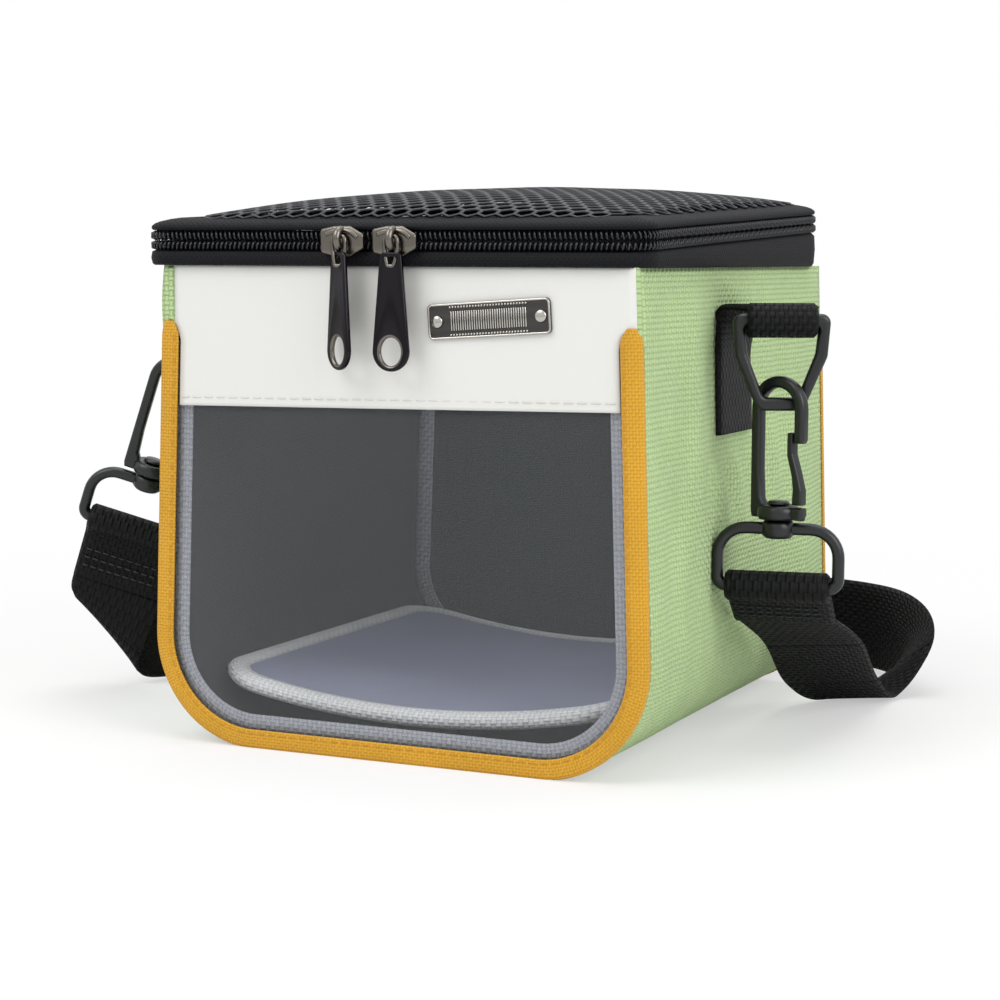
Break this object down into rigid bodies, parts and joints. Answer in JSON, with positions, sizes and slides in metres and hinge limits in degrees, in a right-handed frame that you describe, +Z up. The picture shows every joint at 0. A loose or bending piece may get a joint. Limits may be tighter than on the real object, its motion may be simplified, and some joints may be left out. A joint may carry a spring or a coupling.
{
  "type": "small pet carrier bag",
  "caption": "Small soft-sided carrier bag for a pet or bird, with a clear front window, a zipped net lid that hinges at the back, a curved floor mat and a clip-on shoulder strap.",
  "frame": {"origin": "on the floor under the middle of the bag's body", "axes": "+Z up, the window faces -Y, +X to the right seen from the window"},
  "size_m": [0.2197, 0.1903, 0.1365],
  "materials": {
    "canvas_green": "coarse woven canvas",
    "foam_grey": "closed foam",
    "lining_dark": "smooth woven lining",
    "clear_pvc": "clear flexible film",
    "band_white": "satin coated cloth",
    "tape_yellow": "ribbed binding tape",
    "tape_grey": "ribbed binding tape",
    "cloth_black": "matte woven cloth",
    "zip_black": "satin coil",
    "slider_metal": "gunmetal plating",
    "pull_metal": "black nickel plating",
    "plate_metal": "bright nickel",
    "mat_top": "smooth coated cloth",
    "mat_tape": "herringbone tape",
    "webbing_black": "ribbed webbing",
    "clip_black": "satin moulded plastic"
  },
  "bodies": {
    "bag": {"gusset_outer": "canvas_green", "gusset_foam": "foam_grey", "gusset_lining": "lining_dark", "back_lining": "lining_dark", "back_foam": "foam_grey", "back_panel": "canvas_green", "window_pane": "clear_pvc", "front_band": "band_white", "front_binding": "tape_yellow", "back_binding": "tape_yellow", "inner_front_tape": "tape_grey", "inner_back_tape": "tape_grey", "collar_band": "cloth_black", "collar_hem": "cloth_black", "zip_tape_lower": "cloth_black", "zip_coil_lower": "zip_black", "hinge_leaf_lower": "cloth_black", "nameplate": "plate_metal", "nameplate_rivets": "plate_metal", "mat_pad": "mat_top", "mat_binding": "mat_tape", "loop_left": "webbing_black", "strap_left": "webbing_black", "loop_right": "webbing_black", "strap_right": "webbing_black", "strap_store": "webbing_black"},
    "lid": {"lid_border": "cloth_black", "lid_mesh": "cloth_black", "zip_tape_upper": "cloth_black", "zip_coil_upper": "zip_black", "hinge_leaf_upper": "cloth_black"},
    "slider_left": {"slider_left": "slider_metal"},
    "pull_left": {"pull_left": "pull_metal"},
    "d_ring_left": {"d_ring_left": "clip_black"},
    "hook_left": {"hook_left": "clip_black"},
    "gate_left": {"gate_left": "clip_black"},
    "eye_left": {"eye_left": "clip_black", "strap_end_left": "webbing_black"},
    "slider_right": {"slider_right": "slider_metal"},
    "pull_right": {"pull_right": "pull_metal"},
    "d_ring_right": {"d_ring_right": "clip_black"},
    "hook_right": {"hook_right": "clip_black"},
    "gate_right": {"gate_right": "clip_black"},
    "eye_right": {"eye_right": "clip_black", "strap_end_right": "webbing_black"}
  },
  "joints": [
    {"name": "lid_hinge", "type": "hinge", "parent": "bag", "child": "lid", "pos_m": [0, 0.07098, 0.13], "axis": [-1, 0, 0], "range_deg": [0, 110]},
    {"name": "slider_left_travel", "type": "slide", "parent": "bag", "child": "slider_left", "axis": [-1, 0, 0], "range_m": [0, 0.029]},
    {"name": "slider_right_travel", "type": "slide", "parent": "bag", "child": "slider_right", "axis": [1, 0, 0], "range_m": [0, 0.037]},
    {"name": "pull_left_swing", "type": "hinge", "parent": "slider_left", "child": "pull_left", "pos_m": [-0.0107, -0.07456, 0.12445], "axis": [-1, 0, 0], "range_deg": [0, 150]},
    {"name": "pull_right_swing", "type": "hinge", "parent": "slider_right", "child": "pull_right", "pos_m": [0.003, -0.07456, 0.12445], "axis": [-1, 0, 0], "range_deg": [0, 150]},
    {"name": "d_ring_left_swing", "type": "hinge", "parent": "bag", "child": "d_ring_left", "pos_m": [-0.081, -0.0237, 0.1055], "axis": [0.8544, -0.4163, -0.311], "range_deg": [-8, 8], "deforming": ["strap_left"]},
    {"name": "hook_left_swing", "type": "hinge", "parent": "d_ring_left", "child": "hook_left", "pos_m": [-0.08781, -0.0237, 0.0868], "axis": [0.8544, -0.4163, -0.311], "range_deg": [-8, 8], "deforming": ["strap_left"]},
    {"name": "gate_left_press", "type": "hinge", "parent": "hook_left", "child": "gate_left", "pos_m": [-0.0907, -0.02161, 0.06242], "axis": [0.3276, -0.9373, -0.1192], "range_deg": [0, 12], "stiffness_Nm_per_rad": 0.1},
    {"name": "eye_left_swivel", "type": "hinge", "parent": "hook_left", "child": "eye_left", "pos_m": [-0.09721, -0.0237, 0.06096], "axis": [0.342, 0, 0.9397], "range_deg": [-15, 15], "deforming": ["strap_left"]},
    {"name": "d_ring_right_swing", "type": "hinge", "parent": "bag", "child": "d_ring_right", "pos_m": [0.081, -0.0237, 0.1055], "axis": [0.9092, 0.4163, 0], "range_deg": [-8, 0], "deforming": ["strap_right"]},
    {"name": "hook_right_swing", "type": "hinge", "parent": "d_ring_right", "child": "hook_right", "pos_m": [0.081, -0.0237, 0.0856], "axis": [0.9092, 0.4163, 0], "range_deg": [-8, 0], "deforming": ["strap_right"]},
    {"name": "gate_right_press", "type": "hinge", "parent": "hook_right", "child": "gate_right", "pos_m": [0.08662, -0.02579, 0.0617], "axis": [-0.3486, -0.9373, 0], "range_deg": [0, 12], "stiffness_Nm_per_rad": 0.1},
    {"name": "eye_right_swivel", "type": "hinge", "parent": "hook_right", "child": "eye_right", "pos_m": [0.081, -0.0237, 0.0581], "axis": [0, 0, 1], "range_deg": [-15, 4], "deforming": ["strap_right"]}
  ]
}
